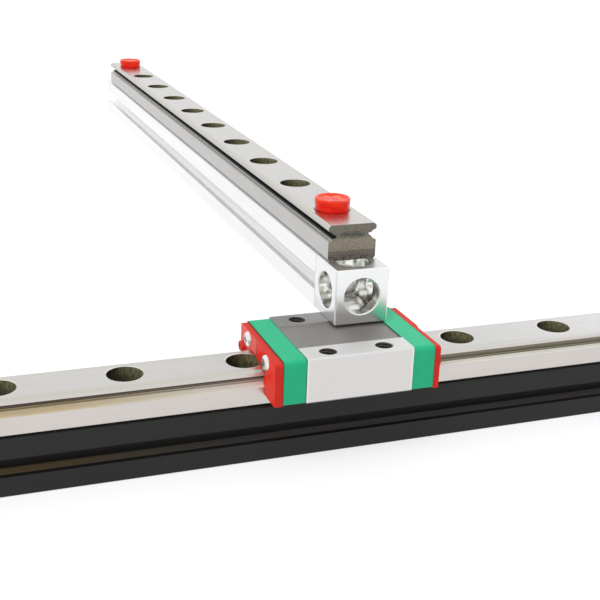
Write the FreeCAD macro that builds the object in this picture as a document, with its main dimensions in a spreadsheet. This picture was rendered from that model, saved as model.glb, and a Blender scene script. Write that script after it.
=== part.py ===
"""Miniature linear slide: a profile-rail guide on a T-slot beam.

Its carriage carries a cross beam with a second rail.

Millimetres: X along the base beam, Y away along the cross beam, Z up.
The origin is the centre of the base beam's left end face, at the mouth of its tapped core bore.
"""
import FreeCAD, Part
import math
import os
import re

import Sketcher

Vector = FreeCAD.Vector

# Driving dimensions: name, millimetres or count, and what it measures.
SIZES = [
    ("beam_side", 10.0, "side of the square T-slot beams"),
    ("base_beam_length", 200.0, "length of the base beam and of its rail"),
    ("cross_beam_length", 200.0, "length of the cross beam and of its rail"),
    ("beam_edge_radius", 0.3, "round on the four long edges of a beam"),
    ("slot_mouth", 3.1, "width of a slot at the surface"),
    ("slot_lip", 1.0, "thickness of the two lips beside the mouth"),
    ("slot_width", 5.9, "width of a slot behind its lips"),
    ("slot_step", 0.45, "straight part of the slot's side behind the lip"),
    ("slot_depth", 3.1, "depth of a slot from the surface to its floor"),
    ("slot_floor", 2.6, "width of the slot's floor"),
    ("core_bore", 2.55, "bore along the middle of a beam"),
    ("thread_size", 3.0, "outer diameter of the main thread"),
    ("thread_gap", 0.03, "radial gap between a screw and its thread"),
    ("core_thread_depth", 8.0, "tapped length at each end of the core bore"),
    ("rail_width", 9.0, "width of a rail"),
    ("rail_height", 6.5, "height of a rail"),
    ("rail_top_edge", 0.4, "chamfer along the rail's top"),
    ("rail_foot_edge", 0.4, "chamfer along the rail's foot"),
    ("hole_pitch", 20.0, "distance between rail holes"),
    ("rail_hole", 3.5, "through hole in a rail"),
    ("counterbore", 6.0, "diameter of the counterbore"),
    ("counterbore_depth", 3.5, "depth of the counterbore"),
    ("ball_size", 1.588, "diameter of a ball"),
    ("ball_out", 4.4, "loaded ball row to the centre line"),
    ("ball_up", 4.45, "ball rows above the rail's seat"),
    ("return_out", 7.4, "returning ball row to the centre line"),
    ("ball_count", 29, "balls in one circuit"),
    ("rail_groove_radius", 0.9, "raceway radius in the rail"),
    ("track_radius", 0.87, "raceway and channel radius in the carriage"),
    ("rail_neck", 7.5, "width of the rail between its raceways"),
    ("shoulder_height", 3.4, "height of the rail's straight side"),
    ("shoulder_rise", 0.45, "rise of the slope above the side"),
    ("beak_height", 5.5, "height of the edge above the raceway"),
    ("beak_drop", 0.7, "drop of the slope below that edge"),
    ("relief_width", 0.66, "width of the wire's relief in the raceway"),
    ("relief_depth", 1.45, "depth of the relief from the rail's side"),
    ("wire_size", 0.4, "diameter of the retainer wire"),
    ("wire_out", 3.38, "retainer wire to the centre line"),
    ("wire_hook", 2.4, "length of the wire's bent ends"),
    ("wire_bend", 0.5, "bend radius of the wire"),
    ("hook_inset", 0.5, "wire's hook to the cap's outer face"),
    ("wire_gap", 0.03, "radial gap round the wire's hook"),
    ("carriage_width", 20.0, "width of the carriage"),
    ("carriage_height", 10.0, "rail seat to the carriage's top"),
    ("carriage_clear", 2.0, "gap below the carriage's legs"),
    ("block_length", 18.9, "length of the steel block"),
    ("block_edge", 0.3, "chamfer on the block's outer edges"),
    ("block_side_gap", 0.25, "gap from the rail's side to the block"),
    ("block_top_gap", 0.4, "gap from the rail's top to the block"),
    ("recess_width", 10.4, "width of the unground band on top"),
    ("recess_depth", 0.35, "depth of that band"),
    ("tap_spacing_long", 10.0, "tapped holes along the rail"),
    ("tap_spacing_wide", 15.0, "tapped holes across the rail"),
    ("tap_depth", 3.0, "depth of the tapped holes"),
    ("tap_rim", 0.15, "chamfer at their mouths"),
    ("cap_length", 4.0, "length of a plastic end cap"),
    ("cap_inset", 0.1, "end cap inside the block's side"),
    ("cap_top_inset", 0.15, "end cap below the block's top"),
    ("cap_foot", 2.3, "height of the end cap's foot"),
    ("cap_round", 0.8, "round on the cap's upper edges"),
    ("cap_gap", 0.3, "gap from the rail to the cap"),
    ("guide_radius", 1.1, "radius of the half-round return guide"),
    ("guide_height", 2.2, "height of the return guide"),
    ("guide_gap", 0.02, "gap round the return guide"),
    ("seal_plate", 1.1, "thickness of the end seal's plate"),
    ("seal_pad", 0.3, "extra thickness of the seal's raised half"),
    ("seal_inset", 0.2, "seal inside the block's side"),
    ("seal_top_inset", 0.45, "end seal below the block's top"),
    ("seal_foot", 2.05, "height of the seal's foot"),
    ("seal_round", 0.6, "round on the seal's upper corners"),
    ("seal_gap", 0.15, "gap from the rail to the seal's lip"),
    ("seal_screw_out", 5.3, "seal screws to the centre line"),
    ("seal_screw_size", 1.6, "thread of the seal screws"),
    ("seal_screw_head", 2.7, "head diameter of the seal screws"),
    ("seal_screw_head_height", 0.9, "head height of the seal screws"),
    ("seal_screw_crown", 0.63, "round on the head of the seal screws"),
    ("seal_screw_sink", 0.3, "depth of the recess for their heads"),
    ("seal_screw_recess", 2.8, "diameter of that recess"),
    ("seal_screw_bite", 2.6, "thread of a seal screw inside the block"),
    ("cross_width", 0.4, "width of the cross recess"),
    ("cross_span", 1.6, "span of the cross recess"),
    ("cross_depth", 0.5, "depth of the cross recess"),
    ("port_out", 7.5, "grease port to the centre line"),
    ("port_up", 6.1, "grease port above the rail's seat"),
    ("port_size", 1.2, "bore of the grease port"),
    ("port_plug_size", 1.8, "diameter of the port's plug"),
    ("port_plug_proud", 0.9, "how far the plug stands out"),
    ("port_plug_bore", 0.9, "hollow in the plug"),
    ("port_plug_bite", 1.4, "plug inside the cap"),
    ("port_plug_gap", 0.02, "radial gap round the plug's stem"),
    ("cube_side", 10.0, "side of the corner cube"),
    ("cube_wall", 1.5, "wall behind each large bore"),
    ("cube_bore", 6.5, "large bores of the cube"),
    ("cube_hole", 3.2, "screw holes in the cube's walls"),
    ("cube_edge", 0.25, "chamfer on the cube's edges"),
    ("cube_rim", 0.2, "chamfer at the large bores"),
    ("button_head", 5.5, "head diameter of a button screw"),
    ("button_height", 1.65, "head height of a button screw"),
    ("button_rim", 0.3, "straight rim below the dome"),
    ("button_top", 2.7, "flat top of the dome"),
    ("dome_radius", 2.4, "radius of the dome's curve"),
    ("hex_size", 2.0, "hexagon socket across its flats"),
    ("hex_depth", 1.0, "depth of the hexagon socket"),
    ("thread_tip", 0.3, "chamfer at a screw's tip"),
    ("rail_screw_length", 6.0, "shank of the rail screws"),
    ("cube_screw_length", 4.0, "shank of the screw into the carriage"),
    ("beam_screw_length", 6.0, "shank of the screw into the cross beam"),
    ("nut_length", 5.0, "length of a slot nut"),
    ("nut_width", 5.5, "width of a slot nut"),
    ("nut_foot", 4.0, "width of the nut's lower face"),
    ("nut_side", 0.4, "straight side of the nut"),
    ("nut_thickness", 1.2, "nut below the slot's lips"),
    ("nut_neck", 2.9, "width of the nut's neck in the mouth"),
    ("nut_neck_height", 0.8, "height of that neck"),
    ("stop_size", 5.7, "diameter of a rail stop in the counterbore"),
    ("stop_head", 6.5, "diameter of its head"),
    ("stop_neck", 6.1, "diameter of its head at the rail"),
    ("stop_lift", 0.03, "gap between its head and the rail"),
    ("stop_rim_height", 0.8, "straight side of the head below its top"),
    ("stop_height", 2.3, "stop above the rail"),
    ("stop_dish", 0.25, "depth of the dish in its top"),
    ("stop_rim", 0.45, "width of the rim round the dish"),
    ("stop_edge", 0.15, "round on the rim"),
    ("stop_stem", 3.4, "stem of the stop in the through hole"),
    ("stop_stem_length", 2.4, "length of that stem"),
    ("stop_seat_gap", 0.05, "gap below the stop in the counterbore"),
    ("stop_split", 0.5, "width of the split in the stem"),
    ("park_distance", 107.1, "lower rail's left end to the carriage"),
    ("rail_overhang", 4.5, "upper rail beyond the cross beam's near end"),
]
NAMES = {name for name, size, meaning in SIZES}

document = FreeCAD.newDocument("LinearSlide")
sheet = document.addObject("Spreadsheet::Sheet", "Sizes")
parts = []


def fill_sheet():
    """Put every driving dimension into the sheet, with its meaning beside it."""
    for row, (name, size, meaning) in enumerate(SIZES, 1):
        sheet.set("A%d" % row, meaning)
        sheet.set("B%d" % row, str(size))
        sheet.setAlias("B%d" % row, name)
    document.recompute()


def cell(text):
    """Spell a size with the sheet's name before each alias in it."""
    def spelled(found):
        word = found.group()
        return "Sizes." + word if word in NAMES else word
    return re.sub(r"[a-z][a-z_]*", spelled, text)


def value(text):
    """Work out a size in millimetres."""
    return float(sheet.evalExpression(cell(text)))


def bind(thing, prop, text):
    """Tie a property to a size."""
    thing.setExpression(prop, cell(text))


def new_body(label, at=("0", "0", "0"), turn=0.0, several=False):
    """Start a sub-part that stands at a place worked out from the sizes, turned about Z."""
    body = document.addObject("PartDesign::Body", label)
    body.Label = label
    body.AllowCompound = several
    place(body, at, turn)
    parts.append(body)
    return body


def place(body, at, turn=0.0, axis=Vector(0, 0, 1)):
    """Set a sub-part's Placement, with its position tied to the sizes."""
    body.Placement = FreeCAD.Placement(Vector(), FreeCAD.Rotation(axis, turn))
    for letter, text in zip("xyz", at):
        bind(body, "Placement.Base." + letter, text)


def origin_item(body, role):
    """Find one of the body's own origin planes or axes."""
    return [item for item in body.Origin.OriginFeatures if item.Role == role][0]


def new_sketch(body, plane, shift=("0", "0", "0")):
    """Attach a sketch to a plane of its own body, shifted in the sketch's own axes."""
    drawing = body.newObject("Sketcher::SketchObject", body.Label + "_sketch")
    drawing.AttachmentSupport = [(origin_item(body, plane), "")]
    drawing.MapMode = "FlatFace"
    for letter, text in zip("xyz", shift):
        bind(drawing, "AttachmentOffset.Base." + letter, text)
    return drawing


def fix_point(drawing, geometry, end, place_at):
    """Hold a point of the sketch at a place worked out from the sizes."""
    for kind, text in zip(("DistanceX", "DistanceY"), place_at):
        number = drawing.addConstraint(Sketcher.Constraint(kind, -1, 1, geometry, end, value(text)))
        bind(drawing, "Constraints[%d]" % number, text)


def fix_radius(drawing, geometry, radius):
    """Tie the radius of a circle or an arc to a size."""
    number = drawing.addConstraint(Sketcher.Constraint("Radius", geometry, value(radius)))
    bind(drawing, "Constraints[%d]" % number, radius)


def add_circle(drawing, centre, radius):
    """Draw a circle with its centre and radius tied to the sizes."""
    middle = Vector(value(centre[0]), value(centre[1]), 0)
    number = drawing.addGeometry(Part.Circle(middle, Vector(0, 0, 1), value(radius)))
    fix_point(drawing, number, 3, centre)
    fix_radius(drawing, number, radius)


def arc_between(start, end, radius):
    """An arc that turns anticlockwise from start to end; its centre lies left of the chord."""
    chord = end - start
    half = chord.Length / 2
    across = Vector(-chord.y, chord.x, 0).normalize() * math.sqrt(radius * radius - half * half)
    centre = (start + end) / 2 + across
    first = math.atan2(start.y - centre.y, start.x - centre.x)
    last = math.atan2(end.y - centre.y, end.x - centre.x)
    return Part.ArcOfCircle(Part.Circle(centre, Vector(0, 0, 1), radius), first, last)


def add_outline(drawing, corners):
    """Draw a closed outline. A corner is (x, y), or (x, y, radius) where an anticlockwise arc leaves it."""
    points = [Vector(value(corner[0]), value(corner[1]), 0) for corner in corners]
    count = len(corners)
    numbers = []
    for index, corner in enumerate(corners):
        start, end = points[index], points[(index + 1) % count]
        if len(corner) == 3:
            edge = arc_between(start, end, value(corner[2]))
        else:
            edge = Part.LineSegment(start, end)
        numbers.append(drawing.addGeometry(edge))
    for index, corner in enumerate(corners):
        following = numbers[(index + 1) % count]
        drawing.addConstraint(Sketcher.Constraint("Coincident", numbers[index], 2, following, 1))
        fix_point(drawing, numbers[index], 1, corner[:2])
        if len(corner) == 3:
            fix_radius(drawing, numbers[index], corner[2])


def minus(text):
    """The same size on the other side of the middle."""
    return "-(" + text + ")"


def mirrored(half):
    """Close a half outline, listed upwards on the right, with its mirror image on the left."""
    return half + [(minus(corner[0]), corner[1]) for corner in reversed(half)]


def rectangle(left, low, right, high):
    """The four corners of a rectangle, anticlockwise."""
    return [(left, low), (right, low), (right, high), (left, high)]


def add_feature(body, kind, drawing, **settings):
    """Add a sketch-based feature, with its lengths tied to the sizes."""
    feature = body.newObject("PartDesign::" + kind, body.Label + "_" + kind.lower())
    feature.Profile = drawing
    for prop, setting in settings.items():
        if prop in ("Length", "Angle") and isinstance(setting, str):
            bind(feature, prop, setting)
        else:
            setattr(feature, prop, setting)
    return feature


def pad(body, drawing, length, middle=False):
    """Extrude a sketch along its plane's normal, or to both sides of it."""
    return add_feature(body, "Pad", drawing, Length=length, SideType="Symmetric" if middle else "One side")


def pocket(body, drawing, length=None, backwards=False, both=False):
    """Cut a sketch into the body: against its normal, along it or both ways, to a depth or through."""
    settings = {"Reversed": backwards}
    if both:
        settings["SideType"] = "Symmetric"
    if length is None:
        settings["Type"] = "ThroughAll"
    else:
        settings["Length"] = length
    return add_feature(body, "Pocket", drawing, **settings)


def turned(body, drawing, kind="Revolution", angle=360.0, middle=False, backwards=False):
    """Revolve a sketch about its own vertical axis, as material or as a cut."""
    return add_feature(body, kind, drawing, ReferenceAxis=(drawing, ["V_Axis"]), Angle=angle,
                       Midplane=middle, Reversed=backwards)


def row_of(body, features, axis, spacing, count):
    """Repeat features in a straight row."""
    pattern = body.newObject("PartDesign::LinearPattern", body.Label + "_row")
    pattern.Originals = features
    pattern.Direction = (origin_item(body, axis), [""])
    bind(pattern, "Length", "(%s) * ((%s) - 1)" % (spacing, count))
    bind(pattern, "Occurrences", count)
    body.Tip = pattern
    return pattern


def edge_names(body, wanted):
    """Names of the body's edges whose middle satisfies a test."""
    document.recompute()
    names = []
    for index, edge in enumerate(body.Tip.Shape.Edges, 1):
        middle = edge.valueAt((edge.FirstParameter + edge.LastParameter) / 2)
        if wanted(edge, middle):
            names.append("Edge%d" % index)
    return names


def soften(body, kind, wanted, size):
    """Chamfer or fillet the edges that a test picks out."""
    names = edge_names(body, wanted)
    base = body.Tip
    feature = body.newObject("PartDesign::" + kind, body.Label + "_" + kind.lower())
    feature.Base = (base, names)
    bind(feature, "Radius" if kind == "Fillet" else "Size", size)
    return feature


def near(first, second):
    """Two lengths are the same for the purpose of picking an edge."""
    return abs(first - second) < 1e-4


# Beams and rails.

def make_beam(label, length, at, turn=0.0):
    """T-slot beam: a square bar with four slots, a core bore and tapped ends."""
    body = new_body(label, at, turn)
    half = "beam_side / 2"
    square = new_sketch(body, "YZ_Plane")
    add_outline(square, rectangle(minus(half), "0", half, "beam_side"))
    pad(body, square, length)
    side = value(half)
    soften(body, "Fillet", lambda edge, middle: near(abs(middle.y), side)
           and near(abs(middle.z - side), side), "beam_edge_radius")
    for sign_y, sign_z in ((0, 1), (1, 0), (0, -1), (-1, 0)):
        slot = new_sketch(body, "YZ_Plane")
        add_outline(slot, slot_outline(sign_y, sign_z))
        pocket(body, slot, backwards=True)
    core = new_sketch(body, "YZ_Plane")
    add_circle(core, ("0", half), "core_bore / 2")
    pocket(body, core, backwards=True)
    near_end = new_sketch(body, "YZ_Plane")
    add_circle(near_end, ("0", half), "thread_size / 2")
    pocket(body, near_end, "core_thread_depth", backwards=True)
    far_end = new_sketch(body, "YZ_Plane", ("0", "0", length))
    add_circle(far_end, ("0", half), "thread_size / 2")
    pocket(body, far_end, "core_thread_depth")
    return body


def slot_outline(sign_y, sign_z):
    """The T-shaped slot on one side of a beam; the signs say which way it opens."""
    half = "beam_side / 2"
    steps = [
        ("slot_floor / 2", "slot_depth"),
        ("slot_width / 2", "slot_lip + slot_step"),
        ("slot_width / 2", "slot_lip"),
        ("slot_mouth / 2", "slot_lip"),
        ("slot_mouth / 2", "-slot_lip"),
    ]
    loop = steps + [(minus(across), depth) for across, depth in reversed(steps)]
    corners = []
    for across, depth in loop:
        outward = "(%s - (%s))" % (half, depth)
        if sign_z:
            corners.append(("%d * (%s)" % (-sign_z, across), "%s + %d * %s" % (half, sign_z, outward)))
        else:
            corners.append(("%d * %s" % (sign_y, outward), "%s + %d * (%s)" % (half, sign_y, across)))
    return corners


def hole_count(length):
    """Holes in a rail of that length."""
    return "round(%s / hole_pitch)" % length


def first_hole(length):
    """From either end of a rail to its nearest hole."""
    return "(%s - hole_pitch * (%s - 1)) / 2" % (length, hole_count(length))


def make_rail(label, length, at, turn=0.0):
    """Profile rail: raceways with a wire relief on both sides, and counterbored holes."""
    body = new_body(label, at, turn)
    section = new_sketch(body, "YZ_Plane")
    add_outline(section, mirrored(rail_half("0")))
    pad(body, section, length)
    tracks = new_sketch(body, "YZ_Plane")
    for sign in ("", "-"):
        add_circle(tracks, (sign + "ball_out", "ball_up"), "rail_groove_radius")
    pocket(body, tracks, backwards=True)
    reliefs = new_sketch(body, "YZ_Plane")
    low, high = "ball_up - relief_width / 2", "ball_up + relief_width / 2"
    tip = "rail_width / 2 - relief_depth"
    add_outline(reliefs, rectangle(tip, low, "ball_out", high))
    add_outline(reliefs, rectangle("-ball_out", low, minus(tip), high))
    pocket(body, reliefs, backwards=True)
    wide = new_sketch(body, "XY_Plane", ("0", "0", "rail_height"))
    add_circle(wide, (first_hole(length), "0"), "counterbore / 2")
    sink = pocket(body, wide, "counterbore_depth")
    narrow = new_sketch(body, "XY_Plane", ("0", "0", "rail_height"))
    add_circle(narrow, (first_hole(length), "0"), "rail_hole / 2")
    through = pocket(body, narrow)
    row_of(body, [sink, through], "X_Axis", "hole_pitch", hole_count(length))
    return body


def rail_half(gap):
    """Right half of the rail's section without its raceway, grown outwards by a gap."""
    side = "rail_width / 2 + %s" % gap
    return [
        ("rail_width / 2 - rail_foot_edge + %s" % gap, "0"),
        (side, "rail_foot_edge"),
        (side, "shoulder_height"),
        ("rail_neck / 2 + %s" % gap, "shoulder_height + shoulder_rise"),
        ("rail_neck / 2 + %s" % gap, "beak_height - beak_drop"),
        (side, "beak_height"),
        (side, "rail_height - rail_top_edge + %s" % gap),
        ("rail_width / 2 - rail_top_edge + %s" % gap, "rail_height + %s" % gap),
    ]


# Button-head screws and slot nuts.

def add_button_screw(body, length, first="0"):
    """Turn a button-head screw about Z with its seat at height 0, and cut its hexagon socket."""
    shank = "thread_size / 2 - thread_gap"
    profile = new_sketch(body, "XZ_Plane", (first, "0", "0"))
    add_outline(profile, [
        ("0", minus(length)),
        (shank + " - thread_tip", minus(length)),
        (shank, "thread_tip - (%s)" % length),
        (shank, "0"),
        ("button_head / 2", "0"),
        ("button_head / 2", "button_rim", "dome_radius"),
        ("button_top / 2", "button_height"),
        ("0", "button_height"),
    ])
    solid = turned(body, profile)
    corner = "hex_size / sqrt(3)"
    socket = new_sketch(body, "XY_Plane", (first, "0", "button_height"))
    add_outline(socket, [
        (corner, "0"), (corner + " / 2", "hex_size / 2"), (minus(corner + " / 2"), "hex_size / 2"),
        (minus(corner), "0"), (minus(corner + " / 2"), "-hex_size / 2"), (corner + " / 2", "-hex_size / 2"),
    ])
    return [solid, pocket(body, socket, "hex_depth")]


def make_rail_screws(label, length, at, turn=0.0):
    """A row of screws in all of a rail's holes but the two outer ones, which hold the stops."""
    body = new_body(label, at, turn, several=True)
    features = add_button_screw(body, "rail_screw_length", first_hole(length) + " + hole_pitch")
    row_of(body, features, "X_Axis", "hole_pitch", hole_count(length) + " - 2")
    return body


def make_slot_nuts(label, length, at, turn=0.0):
    """The nuts below those screws. Height 0 is the surface that the slot opens in."""
    body = new_body(label, at, turn, several=True)
    first = first_hole(length) + " + hole_pitch"
    section = new_sketch(body, "YZ_Plane", ("0", "0", first))
    low = "-(slot_lip + nut_thickness)"
    add_outline(section, mirrored([
        ("nut_foot / 2", low),
        ("nut_width / 2", "-(slot_lip + nut_side)"),
        ("nut_width / 2", "-slot_lip"),
        ("nut_neck / 2", "-slot_lip"),
        ("nut_neck / 2", "nut_neck_height - slot_lip"),
    ]))
    bar = pad(body, section, "nut_length", middle=True)
    thread = new_sketch(body, "XY_Plane")
    add_circle(thread, (first, "0"), "thread_size / 2")
    hole = pocket(body, thread)
    row_of(body, [bar, hole], "X_Axis", "hole_pitch", hole_count(length) + " - 2")
    return body


# Carriage pieces. Along X, the carriage's middle is at 0.

SEAL_FACE = "block_length / 2 + cap_length"
SEAL_TOP = "(carriage_height - seal_top_inset)"
SCREW_UP = "(rail_height + seal_gap + %s) / 2" % SEAL_TOP
HOOK_PLACE = SEAL_FACE + " - hook_inset"
TURN_MIDDLE = "(ball_out + return_out) / 2"
TURN_RADIUS = "(return_out - ball_out) / 2"


def make_block(at):
    """Steel block with two ground strips on top, four tapped holes, raceways and return bores."""
    body = new_body("carriage_block", at)
    half = "carriage_width / 2"
    inner = "rail_width / 2 + block_side_gap"
    ceiling = "rail_height + block_top_gap"
    recess = "recess_width / 2"
    right = [
        (inner, ceiling), (inner, "carriage_clear"),
        (half + " - block_edge", "carriage_clear"), (half, "carriage_clear + block_edge"),
        (half, "carriage_height - block_edge"), (half + " - block_edge", "carriage_height"),
        (recess, "carriage_height"), (recess, "carriage_height - recess_depth"),
    ]
    section = new_sketch(body, "YZ_Plane")
    add_outline(section, mirrored(right))
    pad(body, section, "block_length", middle=True)
    tracks = new_sketch(body, "YZ_Plane")
    for sign in ("", "-"):
        add_circle(tracks, (sign + "ball_out", "ball_up"), "track_radius")
        add_circle(tracks, (sign + "return_out", "ball_up"), "track_radius")
    pocket(body, tracks, both=True)
    taps = new_sketch(body, "XY_Plane", ("0", "0", "carriage_height"))
    for side_x in ("", "-"):
        for side_y in ("", "-"):
            middle = (side_x + "tap_spacing_long / 2", side_y + "tap_spacing_wide / 2")
            add_circle(taps, middle, "thread_size / 2")
    pocket(body, taps, "tap_depth")
    cut_seal_threads(body)
    top = value("carriage_height")
    mouth = math.pi * value("thread_size")
    soften(body, "Chamfer", lambda edge, middle: near(middle.z, top) and near(edge.Length, mouth), "tap_rim")
    return body


def cut_seal_threads(body):
    """Holes for the seal screws in both end faces of the block."""
    radius = "seal_screw_size / 2"
    for sign, backwards in (("", False), ("-", True)):
        holes = new_sketch(body, "YZ_Plane", ("0", "0", sign + "block_length / 2"))
        for side in ("", "-"):
            add_circle(holes, (side + "seal_screw_out", SCREW_UP), radius)
        pocket(body, holes, "seal_screw_bite + thread_tip", backwards=backwards)


def make_end_cap(label, at, turn):
    """Plastic end cap, drawn for the right end. The left one is the same part turned half round."""
    body = new_body(label, at, turn)
    half = "carriage_width / 2 - cap_inset"
    top = "carriage_height - cap_top_inset"
    inner = "rail_width / 2 + cap_gap"
    ceiling = "rail_height + block_top_gap"
    face = "block_length / 2"
    section = new_sketch(body, "YZ_Plane", ("0", "0", face))
    add_outline(section, [
        (inner, ceiling), (inner, "cap_foot"), (half, "cap_foot"), (half, top),
        (minus(half), top), (minus(half), "cap_foot"), (minus(inner), "cap_foot"), (minus(inner), ceiling),
    ])
    pad(body, section, "cap_length")
    edge_y, edge_z = value(half), value(top)
    soften(body, "Fillet", lambda edge, middle: near(abs(middle.y), edge_y)
           and near(middle.z, edge_z), "cap_round")
    for sign in (1, -1):
        cut_ball_turn(body, sign)
    outer = new_sketch(body, "YZ_Plane", ("0", "0", face + " + cap_length"))
    for side in ("", "-"):
        add_circle(outer, (side + "seal_screw_out", SCREW_UP), "seal_screw_size / 2")
    pocket(body, outer)
    port = new_sketch(body, "YZ_Plane", ("0", "0", face + " + cap_length"))
    add_circle(port, ("-port_out", "port_up"), "port_size / 2")
    pocket(body, port, "port_plug_bite + thread_tip")
    hooks = new_sketch(body, "XZ_Plane")
    add_circle(hooks, (HOOK_PLACE, "ball_up"), "wire_size / 2 + wire_gap")
    pocket(body, hooks, "2 * (wire_out + wire_hook + wire_gap)", both=True)
    return body


def turn_sketch(body, sign):
    """A sketch whose vertical axis is the axis of a ball turn, on the side given by the sign."""
    return new_sketch(body, "XZ_Plane", ("block_length / 2", "0", "%d * (%s)" % (-sign, TURN_MIDDLE)))


def cut_ball_turn(body, sign):
    """Cut the half ring that the balls turn in, and the seat of its guide, into the cap."""
    ring = turn_sketch(body, sign)
    add_circle(ring, (TURN_RADIUS, "ball_up"), "track_radius")
    turned(body, ring, "Groove")
    seat = turn_sketch(body, sign)
    half_height = "guide_height / 2 + guide_gap"
    add_outline(seat, rectangle("0", "ball_up - (%s)" % half_height, "guide_radius + guide_gap",
                                "ball_up + %s" % half_height))
    turned(body, seat, "Groove")


def make_return_guides(label, at, turn):
    """Return guides: the inner half of each ball turn, one at each side of an end cap."""
    body = new_body(label, at, turn, several=True)
    low, high = "ball_up - guide_height / 2", "ball_up + guide_height / 2"
    for sign in (1, -1):
        half = turn_sketch(body, sign)
        add_outline(half, rectangle("0", low, "guide_radius", high))
        turned(body, half, angle=180.0, middle=True)
        ring = turn_sketch(body, sign)
        add_circle(ring, (TURN_RADIUS, "ball_up"), "track_radius")
        turned(body, ring, "Groove")
    return body


def make_end_seal(label, at, turn):
    """End seal with one raised half and recesses for its screws, drawn for the right end."""
    body = new_body(label, at, turn)
    half = "carriage_width / 2 - seal_inset"
    lip = list(reversed(rail_half("seal_gap")[2:]))
    inner = "rail_width / 2 + seal_gap"
    right = lip + [(inner, "seal_foot"), (half, "seal_foot")]
    left = [(minus(across), up) for across, up in reversed(right)]
    plate = new_sketch(body, "YZ_Plane", ("0", "0", SEAL_FACE))
    add_outline(plate, right + [
        (half, SEAL_TOP + " - seal_round", "seal_round"), (half + " - seal_round", SEAL_TOP),
        (minus(half + " - seal_round"), SEAL_TOP, "seal_round"), (minus(half), SEAL_TOP + " - seal_round"),
    ] + left)
    pad(body, plate, "seal_plate")
    raised = new_sketch(body, "YZ_Plane", ("0", "0", SEAL_FACE + " + seal_plate"))
    add_outline(raised, [("0", "rail_height + seal_gap")] + right + [
        (half, SEAL_TOP + " - seal_round", "seal_round"), (half + " - seal_round", SEAL_TOP),
        ("0", SEAL_TOP),
    ])
    pad(body, raised, "seal_pad")
    holes = new_sketch(body, "YZ_Plane", ("0", "0", SEAL_FACE))
    for centre, seat in seal_screw_places():
        recess = new_sketch(body, "YZ_Plane", ("0", "0", seat))
        add_circle(recess, centre, "seal_screw_recess / 2")
        pocket(body, recess, backwards=True)
        add_circle(holes, centre, "seal_screw_size / 2")
    add_circle(holes, ("-port_out", "port_up"), "port_size / 2")
    pocket(body, holes, backwards=True)
    return body


def seal_screw_places():
    """Centres of the seal's two screws, and how far out their heads sit in the raised half and in the plate."""
    seat = SEAL_FACE + " + seal_plate - seal_screw_sink"
    return [(("seal_screw_out", SCREW_UP), seat + " + seal_pad"), (("-seal_screw_out", SCREW_UP), seat)]


def make_seal_screws(label, at, turn):
    """The two cross-recessed pan-head screws of one end."""
    body = new_body(label, at, turn, several=True)
    rim = math.pi * value("seal_screw_head")
    tip = "block_length / 2 - seal_screw_bite"
    for centre, seat in seal_screw_places():
        crown = seat + " + seal_screw_head_height"
        top = value(crown)
        middle_out = value(centre[0])
        add_round(body, centre, tip, seat, "seal_screw_size / 2 - thread_gap")
        add_round(body, centre, seat, crown, "seal_screw_head / 2")
        soften(body, "Fillet", lambda edge, middle: near(middle.x, top) and middle.y * middle_out > 0
               and near(edge.Length, rim), "seal_screw_crown")
        for width, height in (("cross_span", "cross_width"), ("cross_width", "cross_span")):
            bar = new_sketch(body, "YZ_Plane", ("0", "0", crown))
            add_outline(bar, rectangle(
                "%s - %s / 2" % (centre[0], width), "%s - %s / 2" % (SCREW_UP, height),
                "%s + %s / 2" % (centre[0], width), "%s + %s / 2" % (SCREW_UP, height)))
            pocket(body, bar, "cross_depth")
    return body


def add_round(body, centre, start, end, radius):
    """A round bar along X between two planes."""
    circle = new_sketch(body, "YZ_Plane", ("0", "0", start))
    add_circle(circle, centre, radius)
    return pad(body, circle, "(%s) - (%s)" % (end, start))


def make_port_plug(label, at, turn):
    """Hollow plug in the grease port, on the seal's lower half."""
    body = new_body(label, at, turn)
    centre = ("-port_out", "port_up")
    seat = SEAL_FACE + " + seal_plate"
    add_round(body, centre, SEAL_FACE + " - port_plug_bite", seat, "port_size / 2 - port_plug_gap")
    add_round(body, centre, seat, seat + " + port_plug_proud", "port_plug_size / 2")
    hollow = new_sketch(body, "YZ_Plane", ("0", "0", seat + " + port_plug_proud"))
    add_circle(hollow, centre, "port_plug_bore / 2")
    pocket(body, hollow, "port_plug_proud")
    return body


def make_retainer_wire(label, at, side):
    """Retainer wire: a straight run along the raceway with a hook into each end cap."""
    body = new_body(label, at)
    end = "%d * (wire_out + wire_hook)" % side
    run = "%d * wire_out" % side
    reach = HOOK_PLACE
    path = new_sketch(body, "XY_Plane", ("0", "0", "ball_up"))
    bend = "%d * (wire_out + wire_bend)" % side
    points = [(minus(reach), end), (minus(reach), bend), ("wire_bend - (%s)" % reach, run),
              (reach + " - wire_bend", run), (reach, bend), (reach, end)]
    add_wire_path(path, points, side)
    ring = new_sketch(body, "XZ_Plane", ("0", "0", minus(end)))
    add_circle(ring, (minus(reach), "ball_up"), "wire_size / 2")
    document.recompute()
    pipe = body.newObject("PartDesign::AdditivePipe", label + "_pipe")
    pipe.Profile = ring
    pipe.Spine = path
    return body


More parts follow.
